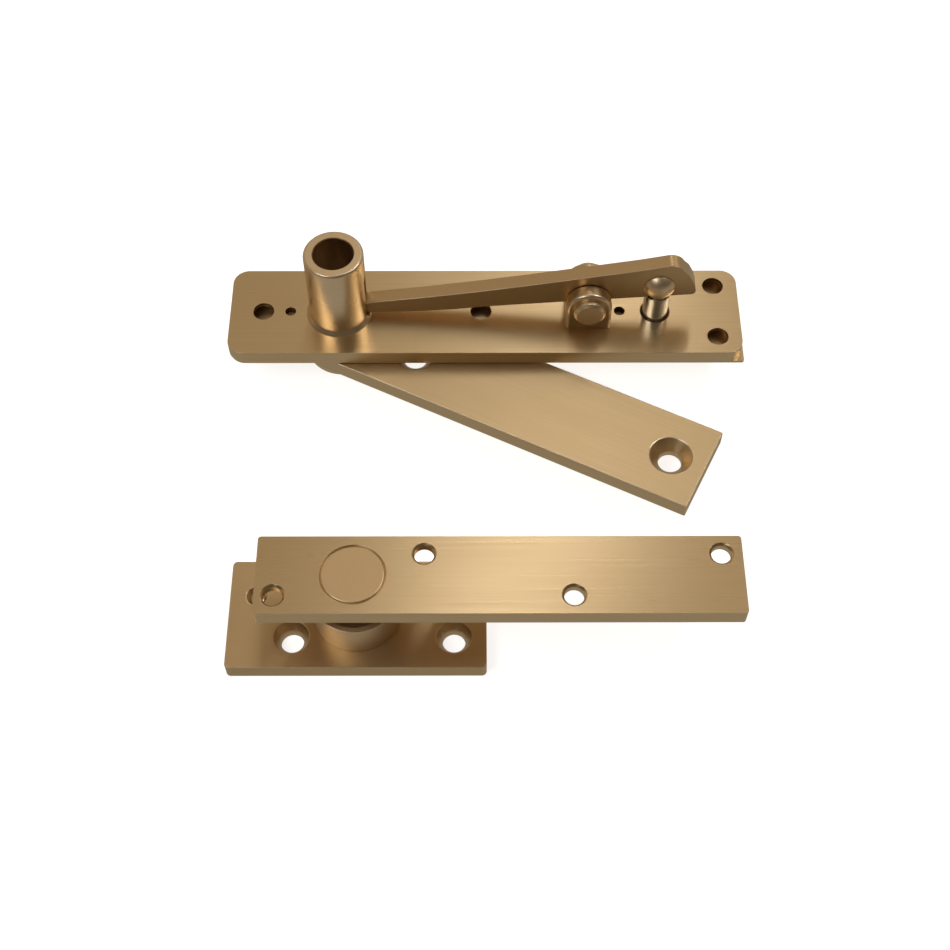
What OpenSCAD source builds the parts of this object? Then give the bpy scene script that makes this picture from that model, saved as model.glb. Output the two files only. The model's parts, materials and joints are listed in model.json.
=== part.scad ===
// Centre-hung door pivot set: a walking-beam top pivot and a ball-bearing bottom pivot,
// laid out side by side. Millimetres, +Z up, origin under the middle of the layout.

/* [Screw plates] */
// thickness of the door plate, the floor plate and the arm
plate_t = 4.8; // [3:0.1:8]
// radius of a fixing screw's clear hole
fix_r = 2.85; // [2:0.05:4]
// radius of a fixing screw's countersink at the face
fix_csk_r = 5.4; // [4:0.1:8]

/* [Frame plate of the top pivot] */
// length of the frame plate
frame_l = 139.4; // [120:0.2:170]
// width of the frame plate
frame_w = 28.6; // [24:0.2:36]
// thickness of the frame plate
frame_t = 3.8; // [3:0.1:6]
// radius of the frame plate's corners
frame_corner_r = 4.3; // [1:0.1:8]
// distance from the pivot axis to the plate's left end
pivot_inset = 29.9; // [20:0.1:45]
// distance from the left end to the first fixing hole
fix_a_inset = 9.1; // [6:0.1:15]
// spacing of the two fixing holes on the centreline
fix_line_gap = 59.5; // [40:0.5:80]
// distance from the right end to the pair of fixing holes
fix_pair_inset = 6.6; // [5:0.1:15]
// spacing of the pair of fixing holes across the plate
fix_pair_gap = 17.5; // [12:0.5:22]
// thickness of the cover plate under the frame plate
cover_t = 0.9; // [0.6:0.1:2]
// how far the cover plate shows past the right end
cover_over = 0.6; // [0:0.1:2]
// radius of the cover plate's square-looking corners
cover_corner_r = 0.6; // [0.2:0.1:4]
// play between the cover plate and the door plate
swing_gap = 0.3; // [0.2:0.05:1]
// distance from the left end to the first cover screw
cover_screw_a = 16.5; // [10:0.1:20]
// distance from the left end to the second cover screw
cover_screw_b = 106.5; // [90:0.1:115]
// radius of a cover screw's tapped hole
cover_tap_r = 1.45; // [1:0.05:2]
// radius of a cover screw's head
cover_head_r = 2.7; // [2:0.1:3.5]

/* [Pin and barrel] */
// outer radius of the barrel
barrel_r = 7.95; // [7:0.05:10]
// height of the barrel above the frame plate
barrel_h = 24; // [20:0.1:35]
// radius of the pivot pin
pin_r = 5.3; // [4:0.1:6.5]
// radial play of every running shaft
run_play = 0.05; // [0.02:0.01:0.1]
// radius of the barrel's spigot in the frame plate
spigot_r = 7; // [6.5:0.1:8]
// width of the collar ring round the barrel's foot
collar_w = 1; // [0.4:0.1:2]
// height of the collar ring
collar_h = 1.2; // [0.5:0.1:3]
// height of the pin's lower end above the base, pin extended
pin_low_z = 3.2; // [2:0.1:6]
// length of the pivot pin
pin_l = 21.2; // [18:0.1:26]

/* [Lever] */
// thickness of the walking-beam lever
lever_t = 4; // [3:0.1:6]
// sideways play of the lever in its slots
lever_play = 0.25; // [0.1:0.05:0.5]
// distance from the pin axis to the fulcrum axis
fulcrum_dx = 67.75; // [50:0.5:90]
// height of the fulcrum axis above the frame plate
fulcrum_dz = 7.5; // [6:0.1:10]
// height of the lever's tip above the frame plate
tip_dz = 3.1; // [2.5:0.1:6]
// radius of the lever's rounded tip
tip_r = 1.9; // [1.5:0.1:2.5]
// distance from the fulcrum axis to the screw axis
screw_dx = 18.55; // [14:0.1:24]
// depth of the lever's neck inside the pin
lever_neck_d = 2.2; // [1.6:0.1:3]
// radius of the lever's lug round the fulcrum pin
lug_r = 4.9; // [4:0.1:6]

/* [Fulcrum bracket] */
// half width of an ear, and radius of its arched top
ear_r = 6.05; // [5:0.05:8]
// thickness of one ear
ear_t = 3.75; // [2:0.05:5]
// thickness of the web that joins the ears
web_t = 1.8; // [1:0.1:3]
// radius of the fulcrum pin
fulcrum_r = 2.5; // [2:0.1:3.5]
// radius of the fulcrum pin's button heads
fulcrum_head_r = 4.2; // [3:0.1:5]
// height of a button head
fulcrum_head_h = 1.9; // [0.8:0.1:3]

/* [Adjusting screw] */
// radius of the screw's shank
screw_r = 3.45; // [2.5:0.1:4]
// radius of the neck under the ball
neck_r = 1.8; // [1.5:0.1:2.4]
// radius of the brass ball cap
ball_r = 4.7; // [4:0.05:6]
// radius of the cap's core inside the lever
ball_core_r = 3.2; // [2.6:0.1:3.6]
// height of the ball's centre above the frame plate
ball_dz = 12.6; // [10:0.1:16]
// height of the screw's lower end above the base
screw_low_z = 13.5; // [12:0.1:15]
// how far the lever's hole runs on past the cap's core
groove_slack = 0.65; // [0.3:0.05:1.5]

/* [Door plate of the top pivot] */
// length of the door plate from the pivot axis to its square end
door_l = 108.2; // [90:0.2:130]
// width of the door plate
door_w = 25.6; // [22:0.2:32]
// angle of the door plate from the frame plate at rest
door_angle = -26.5; // [-60:0.5:0]
// distance from the pivot axis to the near fixing hole
door_fix_a = 23.2; // [18:0.1:30]
// distance from the pivot axis to the far fixing hole
door_fix_b = 98.6; // [80:0.1:120]
// radius of the door plate's clear holes
door_fix_r = 3.1; // [2:0.05:4]
// radius of the door plate's countersinks
door_csk_r = 5.7; // [4:0.1:8]
// depth of the door plate's countersinks
door_csk_d = 3.2; // [2:0.1:4.5]
// radius of the socket boss under the door plate
boss_r = 10; // [9:0.1:13]
// height of the socket boss
boss_h = 6; // [4:0.1:10]

/* [Floor plate of the bottom pivot] */
// length of the floor plate
floor_l = 64.4; // [55:0.2:80]
// width of the floor plate
floor_w = 29.7; // [26:0.1:40]
// radius of the floor plate's corners
floor_corner_r = 1.2; // [0.5:0.1:4]
// distance of the front holes in front of the spindle axis
floor_row_a = 6.85; // [5:0.05:10]
// distance of the back holes behind the spindle axis
floor_row_b = 4.6; // [4:0.05:10]
// distance from the spindle axis to a near hole along the plate
floor_near_x = 16.1; // [14:0.1:20]
// distance from the spindle axis to the far front hole along the plate
floor_far_x = 24.1; // [20:0.1:27]
// distance from the spindle axis to the far back hole along the plate
floor_back_x = 25.4; // [20:0.1:27]
// radius of the smaller back holes
floor_back_r = 1.7; // [1.5:0.05:3]
// radius of the back holes' countersinks
floor_back_csk_r = 2.75; // [2:0.05:4]
// distance of the spindle axis behind the plate's middle
spindle_dy = 0.35; // [0:0.05:2]
// radius of the floor plate's countersinks
floor_csk_r = 4.4; // [3.5:0.1:6]
// depth of the floor plate's countersinks
floor_csk_d = 3; // [1.5:0.1:4]

/* [Bearing] */
// outer radius of the bearing cup
cup_r = 10.9; // [9:0.1:14]
// height of the bearing cup above the floor plate
cup_h = 10.5; // [8:0.1:14]
// radius of the cup's bore
cup_bore_r = 8.6; // [7:0.1:10]
// radius of the spindle's lower journal
journal_r = 4; // [3:0.1:5]
// radius of the spindle's hub
hub_r = 7.6; // [6:0.1:8]
// radius of a bearing ball
bead_r = 1.2; // [0.8:0.05:1.6]
// radius of the ball circle
bead_circle_r = 6.6; // [5:0.1:7]
// number of bearing balls
bead_count = 12; // [8:1:14]

/* [Arm of the bottom pivot] */
// length of the arm
arm_l = 117.2; // [100:0.2:140]
// width of the arm
arm_w = 21; // [18:0.2:28]
// distance from the spindle axis to the arm's left end
arm_tail = 23.3; // [15:0.1:30]
// height of the arm's top face
arm_top = 24.5; // [20:0.1:30]
// radius of the arm's corners
arm_corner_r = 0.8; // [0.2:0.1:3]
// radius of the spindle's flush head
head_r = 7.8; // [6:0.1:9]
// radius of the arm's clear holes
arm_fix_r = 2.45; // [2:0.05:4]
// radius of the arm's countersinks on the underside
arm_csk_r = 4.9; // [4:0.1:6]
// distance from the spindle axis to the arm's first hole
arm_fix_a = 18.8; // [14:0.1:22]
// step along the arm from one hole to the next
arm_fix_step = 35.85; // [30:0.05:40]
// distance of the arm's holes from its centreline
arm_fix_y = 5.6; // [3:0.1:7]

/* [Hidden] */
$fn = 64;
eps = 0.01;

// layout: the frame plate's back edge and the floor plate's front edge bound the set
half_span_x = (frame_l + cover_over) / 2;
half_span_y = 58.1;
top_y = half_span_y - frame_w / 2;
frame_x0 = -half_span_x;
pivot_x = frame_x0 + pivot_inset;
floor_y = -half_span_y + floor_w / 2;
spindle_x = -32.5;

// heights of the top pivot, from the base upwards
door_z = boss_h;
cover_z = door_z + plate_t + swing_gap;
frame_z = cover_z + cover_t;
frame_top = frame_z + frame_t;
barrel_top = frame_top + barrel_h;
barrel_bore_r = pin_r + run_play;

// lever geometry at rest
tip_z = frame_top + tip_dz;
fulcrum_x = pivot_x + fulcrum_dx;
fulcrum_z = frame_top + fulcrum_dz;
screw_x = fulcrum_x + screw_dx;
ball_z = frame_top + ball_dz;
core_play = 0.1;
slot_w = lever_t + 2 * lever_play;
slot_top = frame_top + 14.2;
slot_low = frame_top + 0.5;
neck_rise = 0.87;
neck_side_play = 0.35;

// points round the corner of radius r about c, from angle a to angle b in n steps
function corner(c, r, a, b, n) =
    [for (i = [0 : n]) c + r * [cos(a + (b - a) * i / n), sin(a + (b - a) * i / n)]];

// lever outline at rest: distance from the pivot axis, height above the frame plate
lever_neck_low = [[0, tip_dz - lever_neck_d / 2], [6.2, tip_dz + neck_rise - lever_neck_d / 2]];
lever_bottom = [[9, 1.95], [22.7, 2.5], [32, 3.35], [40.1, 4.45], [61.4, 6.5], [90.7, 9.15]];
lever_heel = corner([94.95, 10.75], 1.2, -80, 5, 8);
lever_nose = [[95.85, 12.4], [95.15, 14.75], [93.75, 17.55]];
lever_crown = corner([88.9, 17.3], 3.85, 25, 102, 10);
lever_top = [[80.6, 19.25], [67.7, 16.6], [53, 13.6], [38.4, 10.8], [24, 8.4], [9, 6.2]];
lever_neck_top = [[6.2, tip_dz + neck_rise + lever_neck_d / 2], [0, tip_dz + lever_neck_d / 2]];
lever_points = concat(lever_neck_low, lever_bottom, lever_heel, lever_nose, lever_crown,
                      lever_top, lever_neck_top);

// flat under the ball, and the shank's end just below it
ball_flat_z = ball_z - 4.3;
shank_top = ball_flat_z - 0.1;

head_rim = 0.7;

// pin slot for the lever's tip
tip_play = 0.12;
pin_slot_in = 3.2;
pin_chamfer = 0.8;
bore_chamfer = 0.25;

// door plate bush and socket
bush_wall = 1.5;
bush_r = barrel_bore_r + bush_wall;
bush_flange_r = bush_r + 1.6;
bush_flange_sink = 0.5;
face_play = 0.05;
boss_floor_t = 1.2;
boss_drain_r = 2;

// fixings
csk_d = fix_csk_r - fix_r;
tap_depth_top = 1.7;
screw_hole_r = screw_r + run_play;
screw_chamfer = 0.6;
access_r = 3.6;
cover_pin_hole_r = pin_r + 0.8;
cover_screw_r = 1.25;

// bearing stack, from the floor upwards
arm_z = arm_top - plate_t;
recess_h = 1.6;
cup_spigot_r = 8;
cup_floor_z = plate_t + 2.6;
cup_top = plate_t + cup_h;
rim_chamfer = 0.9;
race_t = 1.6;
bead_sink = 0.3;
bead_z = cup_floor_z + race_t + bead_r - bead_sink;
groove_r = bead_r + run_play;
upper_race_z = bead_z + bead_r - bead_sink;
hub_z = upper_race_z + race_t;
lower_race_in_r = journal_r + 0.7;
race_out_play = 0.1;
upper_race_out_r = cup_bore_r - 0.5;
cage_t = 0.8;
cage_in_r = 5.15;
cage_out_r = 8.05;
cage_hole_r = bead_r + 0.08;
journal_bush_r = 5.2;
journal_low_z = 0.3;
clip_z = 0.7;
clip_t = 0.7;
clip_r = 6;
clip_groove_r = journal_r - 0.5;
clip_gap_w = 3;
seal_z = hub_z + 0.5;
seal_t = 1.4;
head_chamfer = 0.35;
arm_chamfer = 0.6;
arm_csk_d = arm_csk_r - arm_fix_r;

brass = [0.66, 0.52, 0.34];
bronze = [0.55, 0.40, 0.24];
steel = [0.62, 0.61, 0.58];
dark = [0.12, 0.11, 0.10];

// flat plate from x0 with a corner radius at each end
module plate(l, w, t, r_left, r_right) {
    linear_extrude(t)
        union() {
            translate([r_left, -w / 2])
                square([l - r_left - r_right, w]);
            translate([0, -w / 2 + r_left])
                square([r_left + eps, w - 2 * r_left]);
            translate([l - r_right - eps, -w / 2 + r_right])
                square([r_right + eps, w - 2 * r_right]);
            for (s = [-1, 1]) {
                translate([r_left, s * (w / 2 - r_left)])
                    circle(r_left);
                translate([l - r_right, s * (w / 2 - r_right)])
                    circle(r_right);
            }
        }
}

// round through hole with a countersink, from the face at z = 0 down to -t
module csk_hole(r, csk_r, csk_d, t) {
    translate([0, 0, -t - eps])
        cylinder(h = t + 2 * eps, r = r);
    translate([0, 0, -csk_d])
        cylinder(h = csk_d + eps, r1 = r, r2 = csk_r + eps);
}

// the same hole with its countersink on the lower face at z = 0
module csk_hole_below(r, csk_r, csk_d, t) {
    translate([0, 0, -eps])
        cylinder(h = t + 2 * eps, r = r);
    translate([0, 0, -eps])
        cylinder(h = csk_d + eps, r1 = csk_r + eps, r2 = r);
}

module tube(r_out, r_in, h) {
    difference() {
        cylinder(h = h, r = r_out);
        translate([0, 0, -eps])
            cylinder(h = h + 2 * eps, r = r_in);
    }
}

module at_pivot(z) {
    translate([pivot_x, top_y, z])
        children();
}

module at_spindle(z) {
    translate([spindle_x, floor_y + spindle_dy, z])
        children();
}

// ---- top pivot, frame half ----

module frame_fix_points() {
    for (x = [fix_a_inset, fix_a_inset + fix_line_gap])
        translate([frame_x0 + x, top_y, frame_z])
            children();
    for (s = [-1, 1])
        translate([frame_x0 + frame_l - fix_pair_inset, top_y + s * fix_pair_gap / 2, frame_z])
            children();
}

module frame_plate() {
    color(brass)
        difference() {
            translate([frame_x0, top_y, frame_z])
                plate(frame_l, frame_w, frame_t, frame_corner_r, frame_corner_r);
            at_pivot(frame_z - eps)
                cylinder(h = frame_t + 2 * eps, r = spigot_r);
            frame_fix_points()
                csk_hole_below(fix_r, fix_csk_r, csk_d, frame_t);
            for (x = [cover_screw_a, cover_screw_b])
                translate([frame_x0 + x, top_y, frame_z]) {
                    translate([0, 0, -eps])
                        cylinder(h = frame_t + 2 * eps, r = cover_tap_r);
                    translate([0, 0, -eps])
                        cylinder(h = cover_head_r - cover_tap_r, r1 = cover_head_r, r2 = cover_tap_r);
                }
            translate([screw_x, top_y, frame_z - eps])
                cylinder(h = frame_t + 2 * eps, r = screw_hole_r);
            translate([screw_x, top_y, frame_top - screw_chamfer])
                cylinder(h = screw_chamfer + eps, r1 = screw_hole_r, r2 = screw_hole_r + screw_chamfer);
        }
}

module cover_plate() {
    color(brass)
        difference() {
            translate([frame_x0 + cover_over / 2, top_y, cover_z])
                plate(frame_l + cover_over / 2, frame_w - face_play * 4, cover_t,
                      frame_corner_r, cover_corner_r);
            at_pivot(cover_z - eps)
                cylinder(h = cover_t + 2 * eps, r = cover_pin_hole_r);
            translate([screw_x, top_y, cover_z - eps])
                cylinder(h = cover_t + 2 * eps, r = access_r);
            for (x = [cover_screw_a, cover_screw_b])
                translate([frame_x0 + x, top_y, cover_z - eps])
                    cylinder(h = cover_t + 2 * eps, r = cover_head_r);
        }
}

module cover_screws() {
    color(steel)
        for (x = [cover_screw_a, cover_screw_b])
            translate([frame_x0 + x, top_y, cover_z])
                difference() {
                    union() {
                        cylinder(h = cover_t, r = cover_head_r - face_play);
                        translate([0, 0, cover_t])
                            cylinder(h = cover_head_r - cover_tap_r - 4 * face_play,
                                     r1 = cover_head_r - 4 * face_play, r2 = cover_screw_r);
                        cylinder(h = cover_t + frame_t - tap_depth_top, r = cover_screw_r);
                    }
                    translate([0, 0, -eps])
                        cylinder(h = cover_t, r = cover_screw_r / 2, $fn = 6);
                }
}

module pin_barrel() {
    color(brass)
        difference() {
            union() {
                at_pivot(frame_z)
                    cylinder(h = frame_t + barrel_h, r = spigot_r);
                at_pivot(frame_top)
                    cylinder(h = barrel_h, r = barrel_r);
                at_pivot(frame_top)
                    cylinder(h = collar_h, r1 = barrel_r + collar_w, r2 = barrel_r);
            }
            at_pivot(frame_z - eps)
                cylinder(h = frame_t + barrel_h + 2 * eps, r = barrel_bore_r);
            at_pivot(barrel_top - bore_chamfer)
                cylinder(h = bore_chamfer + eps, r1 = barrel_bore_r, r2 = barrel_bore_r + bore_chamfer);
            translate([pivot_x, top_y - slot_w / 2, slot_low])
                cube([barrel_r + collar_w + eps, slot_w, slot_top - slot_low]);
            translate([pivot_x, top_y, slot_top])
                rotate([0, 90, 0])
                    cylinder(h = barrel_r + collar_w + eps, r = slot_w / 2);
        }
}

module ear(y0) {
    translate([fulcrum_x - ear_r, y0, frame_top])
        cube([2 * ear_r, ear_t, fulcrum_dz]);
    translate([fulcrum_x, y0, fulcrum_z])
        rotate([-90, 0, 0])
            cylinder(h = ear_t, r = ear_r);
}

module fulcrum_bracket() {
    ear_in = lever_t / 2 + lever_play;
    color(brass)
        difference() {
            union() {
                ear(top_y - ear_in - ear_t);
                ear(top_y + ear_in);
                translate([fulcrum_x - ear_r, top_y - ear_in - eps, frame_top])
                    cube([2 * ear_r, 2 * ear_in + 2 * eps, web_t]);
            }
            translate([fulcrum_x, top_y - ear_in - ear_t - eps, fulcrum_z])
                rotate([-90, 0, 0])
                    cylinder(h = 2 * (ear_in + ear_t + eps), r = fulcrum_r);
        }
}

// round head of radius r and height h standing on z = 0, with its rim cut off by c
module button(r, h, c) {
    cylinder(h = h - c, r = r);
    translate([0, 0, h - c - eps])
        cylinder(h = c + eps, r1 = r, r2 = r - c);
}

module fulcrum_pin() {
    ear_out = lever_t / 2 + lever_play + ear_t;
    color(brass)
        translate([fulcrum_x, top_y, fulcrum_z]) {
            rotate([90, 0, 0])
                translate([0, 0, ear_out])
                    button(fulcrum_head_r, fulcrum_head_h, head_rim);
            rotate([-90, 0, 0])
                translate([0, 0, ear_out])
                    button(fulcrum_head_r, fulcrum_head_h, head_rim);
            rotate([-90, 0, 0])
                translate([0, 0, -ear_out - eps])
                    cylinder(h = 2 * (ear_out + eps), r = fulcrum_r);
        }
}

// ---- top pivot, moving pieces ----

module pivot_pin() {
    slot_h = 2 * (tip_r + tip_play);
    color(steel)
        difference() {
            union() {
                at_pivot(pin_low_z)
                    cylinder(h = pin_chamfer, r1 = pin_r - pin_chamfer, r2 = pin_r);
                at_pivot(pin_low_z + pin_chamfer)
                    cylinder(h = pin_l - 2 * pin_chamfer, r = pin_r);
                at_pivot(pin_low_z + pin_l - pin_chamfer)
                    cylinder(h = pin_chamfer, r1 = pin_r, r2 = pin_r - pin_chamfer);
            }
            translate([pivot_x - pin_slot_in, top_y - slot_w / 2, tip_z - slot_h / 2])
                cube([pin_r + pin_slot_in + 1, slot_w, slot_h]);
        }
}

module lever_outline() {
    union() {
        translate([pivot_x, tip_z])
            circle(tip_r);
        translate([pivot_x, frame_top])
            polygon(lever_points);
        translate([fulcrum_x, fulcrum_z])
            circle(lug_r);
    }
}

module lever() {
    core_hole_r = ball_core_r + core_play;
    neck_gap = neck_r + neck_side_play;
    color(brass)
        difference() {
            translate([0, top_y + lever_t / 2, 0])
                rotate([90, 0, 0])
                    linear_extrude(lever_t)
                        lever_outline();
            translate([fulcrum_x, top_y - lever_t, fulcrum_z])
                rotate([-90, 0, 0])
                    cylinder(h = 2 * lever_t, r = fulcrum_r + run_play);
            for (x = [screw_x, screw_x - groove_slack])
                translate([x, top_y - lever_t, ball_z])
                    rotate([-90, 0, 0])
                        cylinder(h = 2 * lever_t, r = core_hole_r);
            translate([screw_x - groove_slack, top_y - lever_t, ball_z - core_hole_r])
                cube([groove_slack, 2 * lever_t, 2 * core_hole_r]);
            translate([screw_x - groove_slack - neck_gap, top_y - lever_t, ball_z - 2 * core_hole_r])
                cube([groove_slack + 2 * neck_gap, 2 * lever_t, 2 * core_hole_r]);
        }
}

module ball_cap() {
    groove_w = lever_t + 2 * core_play;
    color(brass)
        difference() {
            translate([screw_x, top_y, ball_z])
                sphere(ball_r, $fn = 96);
            translate([screw_x, top_y, ball_flat_z - ball_r])
                cylinder(h = ball_r, r = 2 * ball_r);
            translate([screw_x, top_y + groove_w / 2, ball_z])
                rotate([90, 0, 0])
                    tube(2 * ball_r, ball_core_r, groove_w);
            translate([screw_x, top_y, ball_flat_z - eps])
                cylinder(h = ball_z - ball_flat_z + run_play, r = neck_r + run_play);
        }
}

module adjusting_screw() {
    color(steel)
        difference() {
            union() {
                translate([screw_x, top_y, screw_low_z])
                    cylinder(h = shank_top - screw_low_z, r = screw_r);
                translate([screw_x, top_y, shank_top - eps])
                    cylinder(h = ball_z - shank_top, r = neck_r);
            }
            translate([screw_x, top_y, screw_low_z - eps])
                cylinder(h = screw_r, r = screw_r / 2, $fn = 6);
        }
}

// ---- top pivot, door half ----

module at_door() {
    translate([pivot_x, top_y, 0])
        rotate([0, 0, door_angle])
            children();
}

module door_plate() {
    color(brass)
        at_door()
            difference() {
                union() {
                    translate([0, -door_w / 2, door_z])
                        cube([door_l, door_w, plate_t]);
                    translate([0, 0, door_z])
                        cylinder(h = plate_t, r = door_w / 2, $fn = 128);
                }
                translate([0, 0, door_z - eps])
                    cylinder(h = plate_t + 2 * eps, r = bush_r);
                translate([0, 0, door_z + plate_t - bush_flange_sink])
                    cylinder(h = plate_t, r = bush_flange_r + face_play);
                for (x = [door_fix_a, door_fix_b])
                    translate([x, 0, door_z + plate_t])
                        csk_hole(door_fix_r, door_csk_r, door_csk_d, plate_t);
            }
}

module socket_boss() {
    color(brass)
        at_door()
            difference() {
                cylinder(h = boss_h, r = boss_r, $fn = 96);
                translate([0, 0, boss_floor_t])
                    cylinder(h = boss_h, r = bush_r);
                translate([0, 0, -eps])
                    cylinder(h = boss_h, r = boss_drain_r);
            }
}

module door_bush() {
    flange_top = cover_z - face_play;
    color(bronze)
        at_door()
            difference() {
                union() {
                    translate([0, 0, boss_floor_t])
                        cylinder(h = flange_top - boss_floor_t, r = bush_r);
                    translate([0, 0, door_z + plate_t - bush_flange_sink])
                        cylinder(h = flange_top - door_z - plate_t + bush_flange_sink, r = bush_flange_r);
                }
                translate([0, 0, boss_floor_t - eps])
                    cylinder(h = boss_h + plate_t, r = barrel_bore_r);
            }
}

// ---- bottom pivot, floor half ----

module floor_plate() {
    color(brass)
        at_spindle(0)
            difference() {
                translate([-floor_l / 2, -spindle_dy, 0])
                    plate(floor_l, floor_w, plate_t, floor_corner_r, floor_corner_r);
                translate([0, 0, -eps])
                    cylinder(h = plate_t + 2 * eps, r = cup_spigot_r);
                for (x = [-floor_near_x, floor_far_x])
                    translate([x, -floor_row_a, plate_t])
                        csk_hole(fix_r, floor_csk_r, floor_csk_d, plate_t);
                for (x = [-floor_back_x, floor_near_x])
                    translate([x, floor_row_b, plate_t])
                        csk_hole(floor_back_r, floor_back_csk_r, floor_back_csk_r - floor_back_r, plate_t);
            }
}

module bearing_cup() {
    color(brass)
        at_spindle(0)
            difference() {
                union() {
                    translate([0, 0, recess_h])
                        cylinder(h = plate_t - recess_h + eps, r = cup_spigot_r);
                    translate([0, 0, plate_t])
                        cylinder(h = cup_h, r = cup_r, $fn = 96);
                }
                translate([0, 0, cup_floor_z])
                    cylinder(h = cup_h, r = cup_bore_r, $fn = 96);
                translate([0, 0, cup_top - rim_chamfer])
                    cylinder(h = rim_chamfer + eps, r1 = cup_bore_r, r2 = cup_bore_r + rim_chamfer);
                translate([0, 0, recess_h - eps])
                    cylinder(h = cup_floor_z, r = journal_bush_r);
            }
}

module journal_bush() {
    color(bronze)
        at_spindle(recess_h)
            tube(journal_bush_r, journal_r + run_play, cup_floor_z - recess_h);
}

module lower_race() {
    color(steel)
        at_spindle(0)
            difference() {
                translate([0, 0, cup_floor_z])
                    tube(cup_bore_r - race_out_play, lower_race_in_r, race_t);
                translate([0, 0, bead_z])
                    rotate_extrude()
                        translate([bead_circle_r, 0])
                            circle(groove_r);
            }
}

module bearing_balls() {
    color(steel)
        at_spindle(bead_z)
            for (i = [0 : bead_count - 1])
                rotate([0, 0, i * 360 / bead_count])
                    translate([bead_circle_r, 0, 0])
                        sphere(bead_r, $fn = 24);
}

module ball_cage() {
    color(bronze)
        at_spindle(bead_z - cage_t / 2)
            difference() {
                tube(cage_out_r, cage_in_r, cage_t);
                for (i = [0 : bead_count - 1])
                    rotate([0, 0, i * 360 / bead_count])
                        translate([bead_circle_r, 0, -eps])
                            cylinder(h = cage_t + 2 * eps, r = cage_hole_r, $fn = 24);
            }
}

module upper_race() {
    color(steel)
        at_spindle(0)
            difference() {
                translate([0, 0, upper_race_z])
                    tube(upper_race_out_r, journal_r, race_t);
                translate([0, 0, bead_z])
                    rotate_extrude()
                        translate([bead_circle_r, 0])
                            circle(groove_r);
            }
}

module dust_seal() {
    color(dark)
        at_spindle(seal_z)
            tube(cup_bore_r, hub_r + run_play, seal_t);
}

// ---- bottom pivot, arm half ----

module spindle() {
    color(brass)
        at_spindle(0)
            difference() {
                union() {
                    translate([0, 0, journal_low_z])
                        cylinder(h = hub_z - journal_low_z + eps, r = journal_r);
                    translate([0, 0, hub_z])
                        cylinder(h = arm_z - hub_z, r = hub_r);
                    translate([0, 0, arm_z - eps])
                        cylinder(h = plate_t - head_chamfer + eps, r = head_r);
                    translate([0, 0, arm_top - head_chamfer])
                        cylinder(h = head_chamfer, r1 = head_r, r2 = head_r - head_chamfer);
                }
                translate([0, 0, clip_z])
                    tube(journal_r + 1, clip_groove_r, clip_t);
            }
}

module retaining_clip() {
    color(steel)
        at_spindle(clip_z + face_play)
            difference() {
                tube(clip_r, clip_groove_r, clip_t - 2 * face_play);
                translate([0, -clip_gap_w / 2, -eps])
                    cube([clip_r + 1, clip_gap_w, clip_t]);
            }
}

module arm() {
    color(brass)
        at_spindle(0)
            difference() {
                translate([-arm_tail, 0, arm_z])
                    plate(arm_l, arm_w, plate_t, arm_corner_r, arm_corner_r);
                translate([0, 0, arm_z - eps])
                    cylinder(h = plate_t + 2 * eps, r = head_r);
                translate([0, 0, arm_top - head_chamfer])
                    cylinder(h = head_chamfer + eps, r1 = head_r, r2 = head_r + head_chamfer);
                for (i = [0 : 3])
                    translate([-arm_fix_a + i * arm_fix_step, (i % 2 == 0 ? -1 : 1) * arm_fix_y, 0]) {
                        translate([0, 0, arm_z])
                            csk_hole_below(arm_fix_r, arm_csk_r, arm_csk_d, plate_t);
                        translate([0, 0, arm_top - arm_chamfer])
                            cylinder(h = arm_chamfer + eps, r1 = arm_fix_r, r2 = arm_fix_r + arm_chamfer);
                    }
            }
}

frame_plate();
cover_plate();
cover_screws();
pin_barrel();
fulcrum_bracket();
fulcrum_pin();
pivot_pin();
lever();
ball_cap();
adjusting_screw();
door_plate();
socket_boss();
door_bush();
floor_plate();
bearing_cup();
journal_bush();
lower_race();
bearing_balls();
ball_cage();
upper_race();
dust_seal();
spindle();
retaining_clip();
arm();
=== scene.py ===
"""Looks of the centre-hung door pivot set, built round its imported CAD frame. Metres, +Z up."""
import json
import math

import bmesh
import bpy
from mathutils import Matrix, Vector


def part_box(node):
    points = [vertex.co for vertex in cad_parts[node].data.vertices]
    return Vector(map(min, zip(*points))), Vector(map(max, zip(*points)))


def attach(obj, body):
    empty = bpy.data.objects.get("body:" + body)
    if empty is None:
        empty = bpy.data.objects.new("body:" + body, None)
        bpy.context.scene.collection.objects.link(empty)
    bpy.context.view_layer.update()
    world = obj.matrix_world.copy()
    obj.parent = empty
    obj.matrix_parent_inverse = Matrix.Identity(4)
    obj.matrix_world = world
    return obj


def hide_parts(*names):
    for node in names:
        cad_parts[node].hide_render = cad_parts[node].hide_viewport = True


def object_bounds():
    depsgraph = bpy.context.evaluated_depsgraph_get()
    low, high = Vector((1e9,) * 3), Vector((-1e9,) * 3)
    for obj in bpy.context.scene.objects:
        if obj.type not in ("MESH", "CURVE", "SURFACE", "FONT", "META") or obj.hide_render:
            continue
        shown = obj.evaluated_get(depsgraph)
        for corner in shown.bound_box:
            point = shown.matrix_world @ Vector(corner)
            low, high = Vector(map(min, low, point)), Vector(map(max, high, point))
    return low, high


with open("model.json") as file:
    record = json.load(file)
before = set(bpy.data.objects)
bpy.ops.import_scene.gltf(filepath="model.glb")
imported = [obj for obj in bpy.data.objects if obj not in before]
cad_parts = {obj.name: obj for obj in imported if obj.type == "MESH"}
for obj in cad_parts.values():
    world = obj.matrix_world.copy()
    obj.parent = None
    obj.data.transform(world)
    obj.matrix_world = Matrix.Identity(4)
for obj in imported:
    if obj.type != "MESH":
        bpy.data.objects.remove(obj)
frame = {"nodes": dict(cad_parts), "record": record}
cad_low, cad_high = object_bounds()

MM = 0.001
NODES = frame["nodes"]
BODY_OF = {n: b for b, ns in frame["record"]["behaviour"]["bodies"].items() for n in ns}


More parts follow.
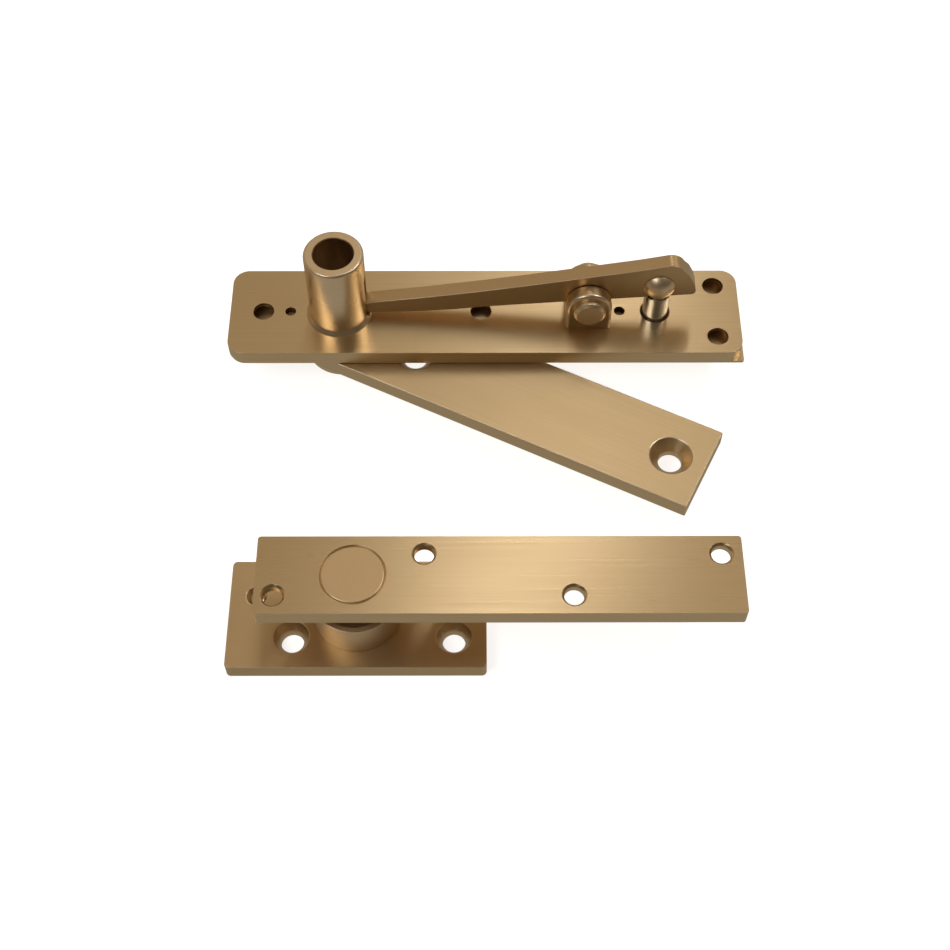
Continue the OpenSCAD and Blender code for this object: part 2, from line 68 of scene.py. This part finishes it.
def middle(node):
    """Centre of a CAD node's box."""
    low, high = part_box(node)
    return (low + high) / 2


PIVOT = middle("door_bush")
SPINDLE = middle("bearing_cup")
FULCRUM = middle("fulcrum_pin")
SCREW = middle("ball_cap")
FRAME_CENTRE = middle("frame_plate")
FRAME_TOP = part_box("frame_plate")[1].z
BARREL_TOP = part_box("pin_barrel")[1].z


def new_object(name, data):
    """An object that holds the given data, linked to the scene."""
    made = bpy.data.objects.new(name, data)
    bpy.context.scene.collection.objects.link(made)
    return made


# ---------------------------------------------------------------- camera

# The photo's viewing angle: place in metres, angles in degrees, lens and sensor in millimetres.
CAMERA_PLACE = (-0.003725, -0.218697, 0.346715)
CAMERA_DOWN = 57.682
CAMERA_TURN = 0.165
CAMERA_ROLL = 0.063
CAMERA_LENS = 58.085
CAMERA_SENSOR = 36
CAMERA_NEAR = 0.01
CAMERA_FAR = 20


def make_camera():
    data = bpy.data.cameras.new("camera")
    data.sensor_width = CAMERA_SENSOR
    data.lens = CAMERA_LENS
    data.clip_start = CAMERA_NEAR
    data.clip_end = CAMERA_FAR
    camera = new_object("camera", data)
    turn = Matrix.Rotation(math.radians(-CAMERA_TURN), 4, "Z")
    tilt = Matrix.Rotation(math.radians(90 - CAMERA_DOWN), 4, "X")
    roll = Matrix.Rotation(math.radians(CAMERA_ROLL), 4, "Z")
    camera.matrix_world = Matrix.Translation(CAMERA_PLACE) @ turn @ tilt @ roll
    bpy.context.scene.camera = camera


# ---------------------------------------------------------------- shader node helpers

def set_inputs(node, values):
    for name, value in values.items():
        node.inputs[name].default_value = value


def node_material(name):
    material = bpy.data.materials.new(name)
    material.use_nodes = True
    tree = material.node_tree
    return material, tree, tree.nodes["Principled BSDF"]


def add(tree, kind, inputs=None, **properties):
    """A new shader node with the values of its sockets and its properties."""
    node = tree.nodes.new(kind)
    for name, value in properties.items():
        setattr(node, name, value)
    set_inputs(node, inputs or {})
    return node


def ranged(tree, value, low, high, from_low=0.3, from_high=0.7):
    """The value's stretch from from_low to from_high, spread over low to high."""
    ends = {"From Min": from_low, "From Max": from_high, "To Min": low, "To Max": high}
    node = add(tree, "ShaderNodeMapRange", ends)
    tree.links.new(value, node.inputs["Value"])
    return node.outputs[0]


def mixed(tree, factor, a, b):
    """Colour between a and b by a factor socket; a and b are colours or sockets."""
    node = add(tree, "ShaderNodeMix", data_type="RGBA")
    tree.links.new(factor, node.inputs[0])
    for socket, value in ((node.inputs[6], a), (node.inputs[7], b)):
        if isinstance(value, bpy.types.NodeSocket):
            tree.links.new(value, socket)
        else:
            socket.default_value = (*value, 1)
    return node.outputs[2]


# ---------------------------------------------------------------- stage and light

FLOOR_HALF = 3.0
FLOOR_GAP = 0.02 * MM
FLOOR_LOOK = {
    "Base Color": (0.86, 0.86, 0.86, 1),
    "Roughness": 0.9,
    "Specular IOR Level": 0.0,
    "Emission Color": (1, 1, 1, 1),
    "Emission Strength": 0.80,
}

# The surroundings' colours, and where along -Y to +Y and down to up they fade into each other.
SKY_FRONT = (0.090, 0.074, 0.056)
SKY_BACK = (0.41, 0.335, 0.24)
TABLE_FRONT = (0.36, 0.335, 0.295)
SKY_FADE = (-0.35, 0.45)
HORIZON_FADE = (-0.10, 0.05)


def make_floor():
    mesh = bpy.data.meshes.new("floor")
    signs = ((-1, -1), (1, -1), (1, 1), (-1, 1))
    mesh.from_pydata([(x * FLOOR_HALF, y * FLOOR_HALF, 0) for x, y in signs], [], [(0, 1, 2, 3)])
    floor = new_object("floor", mesh)
    floor.location.z = cad_low.z - FLOOR_GAP
    material, tree, shader = node_material("floor")
    set_inputs(shader, FLOOR_LOOK)
    mesh.materials.append(material)
    floor.visible_glossy = False


def direction(azimuth, elevation, distance):
    """A place seen from the object: azimuth 0 is behind it (+Y), 90 to its right (+X)."""
    a, e = math.radians(azimuth), math.radians(elevation)
    return Vector((math.sin(a) * math.cos(e), math.cos(a) * math.cos(e), math.sin(e))) * distance


def area_light(name, place, width, height, radiance, lean=0.0):
    """A rectangular softbox that faces the origin, with the radiance that a mirror would show.

    lean turns it in its own plane, in degrees, clockwise as seen from behind it.
    """
    data = bpy.data.lights.new(name, "AREA")
    data.shape = "RECTANGLE"
    data.size = width
    data.size_y = height
    data.energy = radiance * math.pi * width * height
    light = new_object(name, data)
    light.location = place
    aim = (-place).to_track_quat("-Z", "Y").to_matrix()
    light.rotation_euler = (aim @ Matrix.Rotation(math.radians(-lean), 3, "Z")).to_euler()


def make_lights():
    area_light("back_strip", direction(6, 60, 1.3), width=0.07, height=0.80, radiance=4.1, lean=15)
    area_light("left_box", direction(-126, 54, 1.1), width=0.50, height=0.36, radiance=3.8)
    area_light("right_box", direction(74, 57, 1.1), width=0.30, height=0.30, radiance=7.0)


def make_world():
    """Warm surroundings: dim in front, lighter behind the object, and a table below the horizon."""
    world = bpy.data.worlds.new("studio")
    bpy.context.scene.world = world
    world.use_nodes = True
    tree = world.node_tree
    coords = add(tree, "ShaderNodeTexCoord")
    parts = add(tree, "ShaderNodeSeparateXYZ")
    tree.links.new(coords.outputs["Generated"], parts.inputs[0])
    behind = ranged(tree, parts.outputs["Y"], 0.0, 1.0, *SKY_FADE)
    above = ranged(tree, parts.outputs["Z"], 0.0, 1.0, *HORIZON_FADE)
    tone = mixed(tree, above, TABLE_FRONT, mixed(tree, behind, SKY_FRONT, SKY_BACK))
    tree.links.new(tone, tree.nodes["Background"].inputs["Color"])


# ---------------------------------------------------------------- materials

BRASS = (0.735, 0.562, 0.335)
BRASS_DEEP = (0.645, 0.474, 0.262)
BRASS_DULL = (0.64, 0.45, 0.255)
# A paler brass that paints in light: on rounded edges it is partly rubbed brass and partly a
# painted highlight; on the turned cap, fulcrum pin, barrel and cup it paints in brightness.
BRASS_PALE_PAINTED_LIGHT = (0.81, 0.64, 0.43)
# Darker brass for the walls of holes and bores: painted shade for the dimness inside them.
BORE_PAINTED_SHADE = (0.42, 0.28, 0.15)
BORE_PAINTED_SHADE_DEEP = (0.32, 0.20, 0.10)
BRONZE = (0.50, 0.30, 0.15)
BRONZE_DEEP = (0.36, 0.20, 0.09)
BRONZED = (0.34, 0.21, 0.11)
BRONZED_DEEP = (0.24, 0.15, 0.08)
STEEL = (0.68, 0.69, 0.70)
STEEL_DEEP = (0.58, 0.585, 0.59)
STEEL_EDGE = (0.7, 0.69, 0.66)
# Dark brown of the dust seal: the rubber's own tone and painted shade for the gap inside the cup.
RUBBER_AND_GAP_SHADE = (0.20, 0.125, 0.070)
RUBBER_DUST = (0.27, 0.175, 0.10)

# Directions of the brushing, turned from +X. The door plate lies at its angle.
DOOR_GRAIN = math.radians(-26.5)
HEAD_GRAIN = math.radians(70)

# Noise features per metre, along the grain and across it.
FINE_GRAIN = (60, 7000, 7000)
COARSE_GRAIN = (22, 2600, 2600)
CLOUD_GRAIN = (26, 55, 55)

# Noise features per metre where there is no straight grain.
RING_SCALE = 6200.0
TARNISH_SCALE = 110.0
RUB_SCALE = 420.0
DUST_SCALE = 900.0

# How far a noise takes the colour towards its deeper tone, and how dull a rubbed edge gets.
CLOUD_SHARE = 0.40
STREAK_SHARE = 0.55
STREAK_FROM = (0.40, 0.72)
TARNISH_SHARE = 0.5
RUB_TONE = 0.90

GRAIN_BUMP = 0.12
GRAIN_DEPTH = 0.004 * MM
DUST_BUMP = 0.2
DUST_DEPTH = 0.02 * MM


def stretched(tree, turn, scale):
    """Object coordinates turned about Z and scaled, so that a noise runs along a grain."""
    coords = add(tree, "ShaderNodeTexCoord")
    turning = add(tree, "ShaderNodeMapping", {"Rotation": (0, 0, -turn)})
    scaling = add(tree, "ShaderNodeMapping", {"Scale": scale})
    tree.links.new(coords.outputs["Object"], turning.inputs["Vector"])
    tree.links.new(turning.outputs[0], scaling.inputs["Vector"])
    return scaling.outputs[0]


def noise(tree, vector, scale=1.0, detail=2.0, roughness=0.5):
    looks = {"Scale": scale, "Detail": detail, "Roughness": roughness}
    node = add(tree, "ShaderNodeTexNoise", looks)
    tree.links.new(vector, node.inputs["Vector"])
    return node.outputs[0]


def bumped(tree, shader, height, strength, depth):
    node = add(tree, "ShaderNodeBump", {"Strength": strength, "Distance": depth})
    tree.links.new(height, node.inputs["Height"])
    tree.links.new(node.outputs[0], shader.inputs["Normal"])


def metal(name, anisotropy=0.0):
    material, tree, shader = node_material(name)
    set_inputs(shader, {"Metallic": 1.0, "Anisotropic": anisotropy})
    return material, tree, shader


def brushed(name, colour, deep, rough, turn=0.0, anisotropy=0.5, streak=1.0):
    """Brushed metal with its grain along X, turned about Z."""
    material, tree, shader = metal(name, anisotropy)
    fine = noise(tree, stretched(tree, turn, FINE_GRAIN))
    coarse = noise(tree, stretched(tree, turn, COARSE_GRAIN), detail=3.0, roughness=0.6)
    cloud = noise(tree, stretched(tree, turn, CLOUD_GRAIN))
    streaks = ranged(tree, coarse, 0.0, STREAK_SHARE * streak, *STREAK_FROM)
    tone = mixed(tree, ranged(tree, cloud, 0.0, CLOUD_SHARE), colour, deep)
    tree.links.new(mixed(tree, streaks, tone, deep), shader.inputs["Base Color"])
    tree.links.new(ranged(tree, coarse, *rough), shader.inputs["Roughness"])
    across = add(tree, "ShaderNodeCombineXYZ", {"X": -math.sin(turn), "Y": math.cos(turn)})
    world = add(tree, "ShaderNodeVectorTransform", vector_type="VECTOR",
                convert_from="OBJECT", convert_to="WORLD")
    tree.links.new(across.outputs[0], world.inputs[0])
    tree.links.new(world.outputs[0], shader.inputs["Tangent"])
    bumped(tree, shader, fine, GRAIN_BUMP, GRAIN_DEPTH)
    return material


def turned(name, colour, deep, rough=(0.24, 0.33), rings=0.06, anisotropy=0.3):
    """Lathe-turned metal round the piece's own Z axis: fine rings, and a soft sheen round it."""
    material, tree, shader = metal(name, anisotropy)
    coords = add(tree, "ShaderNodeTexCoord")
    parts = add(tree, "ShaderNodeSeparateXYZ")
    tree.links.new(coords.outputs["Object"], parts.inputs[0])
    flat = add(tree, "ShaderNodeCombineXYZ")
    tree.links.new(parts.outputs["X"], flat.inputs["X"])
    tree.links.new(parts.outputs["Y"], flat.inputs["Y"])
    radius = add(tree, "ShaderNodeVectorMath", operation="LENGTH")
    tree.links.new(flat.outputs[0], radius.inputs[0])
    profile = add(tree, "ShaderNodeCombineXYZ")
    tree.links.new(radius.outputs["Value"], profile.inputs["X"])
    tree.links.new(parts.outputs["Z"], profile.inputs["Z"])
    ring = noise(tree, profile.outputs[0], RING_SCALE)
    tarnish = noise(tree, coords.outputs["Object"], TARNISH_SCALE, detail=3.0)
    tone = mixed(tree, ranged(tree, tarnish, 0.0, TARNISH_SHARE), colour, deep)
    tree.links.new(tone, shader.inputs["Base Color"])
    tree.links.new(ranged(tree, ring, *rough), shader.inputs["Roughness"])
    tangent = add(tree, "ShaderNodeTangent", direction_type="RADIAL", axis="Z")
    tree.links.new(tangent.outputs[0], shader.inputs["Tangent"])
    bumped(tree, shader, ring, rings, GRAIN_DEPTH)
    return material


def worn_and_highlight_edge(name, colour, rough):
    """The rubbed edge of a part: its tone and gloss are broken up along its length. A pale colour
    given to it also paints a highlight along the edge.
    """
    material, tree, shader = metal(name)
    coords = add(tree, "ShaderNodeTexCoord")
    rub = noise(tree, coords.outputs["Object"], RUB_SCALE, detail=3.0, roughness=0.6)
    duller = tuple(c * RUB_TONE for c in colour)
    tone = mixed(tree, ranged(tree, rub, 0.0, 1.0), colour, duller)
    tree.links.new(tone, shader.inputs["Base Color"])
    tree.links.new(ranged(tree, rub, *rough), shader.inputs["Roughness"])
    return material


def rubber(name, rough):
    """Matt dark rubber with a fine dusting; its dark tone is also painted shade for the gap it sits
    in.
    """
    material, tree, shader = node_material(name)
    coords = add(tree, "ShaderNodeTexCoord")
    dust = noise(tree, coords.outputs["Object"], DUST_SCALE, detail=3.0)
    tone = mixed(tree, ranged(tree, dust, 0.0, 1.0), RUBBER_AND_GAP_SHADE, RUBBER_DUST)
    tree.links.new(tone, shader.inputs["Base Color"])
    tree.links.new(ranged(tree, dust, *rough), shader.inputs["Roughness"])
    bumped(tree, shader, dust, DUST_BUMP, DUST_DEPTH)
    return material


def make_materials():
    return {
        "plate": brushed("brushed_brass", BRASS, BRASS_DEEP, rough=(0.29, 0.35), anisotropy=0.65),
        "arm": brushed("brushed_brass_arm", BRASS, BRASS_DEEP, rough=(0.27, 0.31),
                       anisotropy=0.70, streak=0.65),
        "base": brushed("brushed_brass_base", BRASS_DEEP, BRASS_DULL, rough=(0.36, 0.42),
                        anisotropy=0.35),
        "door": brushed("brushed_brass_door", BRASS, BRASS_DEEP, rough=(0.36, 0.41),
                        turn=DOOR_GRAIN, anisotropy=0.3),
        "beam": brushed("brushed_brass_lever", BRASS_DEEP, BRASS_DULL, rough=(0.34, 0.38)),
        "head": brushed("brushed_brass_head", BRASS_DEEP, BRASS_DULL, rough=(0.42, 0.48),
                        turn=HEAD_GRAIN, anisotropy=0.2),
        "bronzed": turned("bronzed_steel", BRONZED, BRONZED_DEEP, rough=(0.4, 0.5)),
        "turned": turned("turned_brass", BRASS, BRASS_DEEP),
        # The cap, fulcrum pin, barrel and cup take the pale brass, which paints brightness onto
        # them.
        "polished": turned("polished_brass", BRASS_PALE_PAINTED_LIGHT, BRASS, rough=(0.34, 0.44),
                           rings=0.03, anisotropy=0.0),
        "barrel": turned("satin_barrel_brass", BRASS_PALE_PAINTED_LIGHT, BRASS, rough=(0.27, 0.34),
                         rings=0.03, anisotropy=0.0),
        "cup": turned("satin_turned_brass", BRASS_PALE_PAINTED_LIGHT, BRASS, rough=(0.44, 0.54),
                      rings=0.03, anisotropy=0.0),
        # Walls of the frame plate's holes and the barrel's bore: darker brass as painted shade.
        "bore": turned("bore_painted_shade_brass", BORE_PAINTED_SHADE, BORE_PAINTED_SHADE_DEEP, rough=(0.45, 0.58), rings=0.2),
        # Rounded brass edges: partly rubbed brass, partly a painted edge highlight from the pale
        # brass.
        "edge": worn_and_highlight_edge("worn_brass_edge_and_highlight", BRASS_PALE_PAINTED_LIGHT, rough=(0.30, 0.40)),
        "bronze": turned("sintered_bronze", BRONZE, BRONZE_DEEP, rough=(0.38, 0.5),
                         rings=0.1, anisotropy=0.0),
        "steel": turned("plated_steel", STEEL, STEEL_DEEP, rough=(0.14, 0.22),
                        rings=0.05, anisotropy=0.2),
        "steel_edge": worn_and_highlight_edge("worn_steel_edge", STEEL_EDGE, rough=(0.12, 0.2)),
        "rubber": rubber("seal_rubber", rough=(0.55, 0.75)),
    }


# ---------------------------------------------------------------- pieces from the CAD shapes

# Rounding of each piece's sharp edges, in millimetres.
ROUNDING = {
    "frame_plate": 0.28,
    "cover_plate": 0.12,
    "cover_screws": 0.06,
    "pin_barrel": 0.2,
    "fulcrum_bracket": 0.25,
    "fulcrum_pin": 0.45,
    "pivot_pin": 0.15,
    "lever": 0.3,
    "ball_cap": 0.15,
    "adjusting_screw": 0.1,
    "door_plate": 0.25,
    "socket_boss": 0.25,
    "door_bush": 0.12,
    "floor_plate": 0.4,
    "bearing_cup": 0.2,
    "journal_bush": 0.1,
    "lower_race": 0.08,
    "ball_cage": 0.06,
    "bearing_balls": 0.02,
    "upper_race": 0.08,
    "dust_seal": 0.15,
    "spindle": 0.12,
    "retaining_clip": 0.06,
    "arm": 0.25,
}

# The barrel's top rim, and a radius between its bore and its outside.
BARREL_R = 7.95 * MM
BARREL_ROUNDING = 0.7 * MM
BORE_LIMIT_R = 5.9 * MM
RIM_SLACK = 0.1 * MM
HEIGHT_SLACK = 0.05 * MM
INWARD_LEAST = 0.5

# The part of the frame plate that holds its holes, from its middle.
HOLES_HALF_L = 66 * MM
HOLES_HALF_W = 12 * MM
FLAT_FACE_Z = 0.95

# The bracket's ears: beyond their middles, outside their arch, inside their pin holes.
EAR_OUTSIDE = 5.9 * MM
EAR_ARCH_R = 4.6 * MM
EAR_ROUNDING = 0.9 * MM
PIN_HOLE_R = 2.8 * MM
FOOT_H = 0.1 * MM

WELD = 0.0005 * MM
FLAT_ANGLE = math.radians(0.3)
SHARP_ANGLE = math.radians(30)
WIDE_SEGMENTS = 4
NORMAL_WEIGHT = 60
FACE_SLOT, EDGE_SLOT, INNER_SLOT = 0, 1, 2


# The rounded strips take the edge material; on brass it is a pale tone that paints edge highlights.
def rounded(bm, edges, width, segments):
    bmesh.ops.bevel(bm, geom=edges, offset=width, offset_type="OFFSET", segments=segments,
                    profile=0.5, affect="EDGES", clamp_overlap=True, material=EDGE_SLOT)


def edge_ends(edge):
    """The two points of an edge, by which it is found again after others are rounded."""
    return frozenset(tuple(vert.co) for vert in edge.verts)


def refined(node, material, edge, at=(0, 0, 0), wide=(), inner=None, segments=2):
    """The CAD node's shape with its triangles joined up and every sharp edge rounded.

    wide holds (test of an edge's middle, width) for edges with a bigger rounding, where the
    width 0 leaves them sharp; inner is (test of a face's middle and normal, material).
    """
    origin = Vector(at)
    bm = bmesh.new()
    bm.from_mesh(NODES[node].data)
    bmesh.ops.remove_doubles(bm, verts=bm.verts, dist=WELD)
    bmesh.ops.dissolve_limit(bm, angle_limit=FLAT_ANGLE, verts=bm.verts, edges=bm.edges)
    for face in bm.faces:
        is_inner = inner and inner[0](face.calc_center_median(), face.normal)
        face.material_index = INNER_SLOT if is_inner else FACE_SLOT
        face.smooth = True
    sharp = [e for e in bm.edges if len(e.link_faces) == 2 and e.calc_face_angle(0) > SHARP_ANGLE]
    for test, width in wide:
        chosen = [e for e in sharp if test((e.verts[0].co + e.verts[1].co) / 2)]
        sharp = [e for e in sharp if e not in chosen]
        if width:
            ends = {edge_ends(e) for e in sharp}
            rounded(bm, chosen, width, WIDE_SEGMENTS)
            sharp = [e for e in bm.edges if edge_ends(e) in ends]
    rounded(bm, sharp, ROUNDING[node] * MM, segments)
    bmesh.ops.translate(bm, verts=bm.verts, vec=-origin)
    bmesh.ops.recalc_face_normals(bm, faces=bm.faces)
    mesh = bpy.data.meshes.new(node + "_detail")
    bm.to_mesh(mesh)
    bm.free()
    mesh.materials.append(material)
    mesh.materials.append(edge)
    if inner:
        mesh.materials.append(inner[1])
    piece = new_object(node + "_detail", mesh)
    piece.location = origin
    smooth = piece.modifiers.new("even_shading", "WEIGHTED_NORMAL")
    smooth.keep_sharp = True
    smooth.weight = NORMAL_WEIGHT
    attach(piece, BODY_OF[node])
    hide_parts(node)


def from_axis(centre, point):
    """Distance of a point from the vertical axis through a centre."""
    return math.hypot(point.x - centre.x, point.y - centre.y)


def from_pin(point):
    """Distance of a point from the fulcrum pin's axis."""
    return math.hypot(point.x - FULCRUM.x, point.z - FULCRUM.z)


def on_rim(centre, radius, height):
    """Test for edges of a round rim of the given radius at the given height."""
    def test(p):
        off_round = abs(from_axis(centre, p) - radius)
        return off_round < RIM_SLACK and abs(p.z - height) < HEIGHT_SLACK
    return test


def in_bore(centre, radius):
    """Test for faces of a round bore that look at its axis."""
    def test(p, normal):
        inward = Vector((centre.x - p.x, centre.y - p.y, 0)).normalized()
        return from_axis(centre, p) < radius and normal.dot(inward) > INWARD_LEAST
    return test


def in_frame_hole(p, normal):
    """Test for the walls of the frame plate's holes."""
    along = abs(p.x - FRAME_CENTRE.x) < HOLES_HALF_L
    across = abs(p.y - FRAME_CENTRE.y) < HOLES_HALF_W
    return along and across and abs(normal.z) < FLAT_FACE_Z


def ear_edges(p):
    """The arched outer edges of the fulcrum bracket's ears."""
    outside = abs(p.y - FULCRUM.y) > EAR_OUTSIDE
    return outside and from_pin(p) > EAR_ARCH_R and p.z > FRAME_TOP + FOOT_H


def pin_hole_or_foot(p):
    """Edges of the bracket that touch the pin or the frame plate, which stay sharp."""
    return from_pin(p) < PIN_HOLE_R or p.z < FRAME_TOP + FOOT_H


def make_top_pivot(m):
    # The frame plate's hole walls take the darker bore brass, painted shade inside the holes.
    refined("frame_plate", m["plate"], m["edge"], inner=(in_frame_hole, m["bore"]))
    refined("cover_plate", m["plate"], m["edge"])
    refined("cover_screws", m["bronzed"], m["bronzed"])
    # The barrel's bore walls take the same darker brass, painted shade inside the bore.
    refined("pin_barrel", m["barrel"], m["edge"], at=PIVOT,
            wide=[(on_rim(PIVOT, BARREL_R, BARREL_TOP), BARREL_ROUNDING)],
            inner=(in_bore(PIVOT, BORE_LIMIT_R), m["bore"]))
    refined("fulcrum_bracket", m["beam"], m["edge"],
            wide=[(pin_hole_or_foot, 0.0), (ear_edges, EAR_ROUNDING)])
    refined("fulcrum_pin", m["polished"], m["polished"], at=FULCRUM, segments=4)
    refined("pivot_pin", m["steel"], m["steel_edge"], at=PIVOT)
    refined("lever", m["beam"], m["edge"])
    refined("ball_cap", m["polished"], m["polished"], at=SCREW)
    refined("adjusting_screw", m["steel"], m["steel_edge"], at=SCREW)
    refined("door_plate", m["door"], m["edge"])
    refined("socket_boss", m["turned"], m["edge"], at=PIVOT)
    refined("door_bush", m["bronze"], m["bronze"], at=PIVOT)


def make_bottom_pivot(m):
    refined("floor_plate", m["base"], m["edge"], segments=3)
    refined("bearing_cup", m["cup"], m["edge"], at=SPINDLE)
    refined("journal_bush", m["bronze"], m["bronze"], at=SPINDLE)
    refined("lower_race", m["steel"], m["steel_edge"], at=SPINDLE)
    refined("ball_cage", m["bronze"], m["bronze"], at=SPINDLE)
    refined("bearing_balls", m["steel"], m["steel_edge"], at=SPINDLE)
    refined("upper_race", m["steel"], m["steel_edge"], at=SPINDLE)
    # The dust seal's dark rubber also paints the shade of the gap between the cup and the hub.
    refined("dust_seal", m["rubber"], m["rubber"], at=SPINDLE)
    refined("spindle", m["head"], m["edge"], at=SPINDLE)
    refined("retaining_clip", m["steel"], m["steel_edge"], at=SPINDLE)
    refined("arm", m["arm"], m["edge"])


bpy.context.scene.view_settings.view_transform = "Standard"
make_camera()
make_floor()
make_lights()
make_world()
materials = make_materials()
make_top_pivot(materials)
make_bottom_pivot(materials)
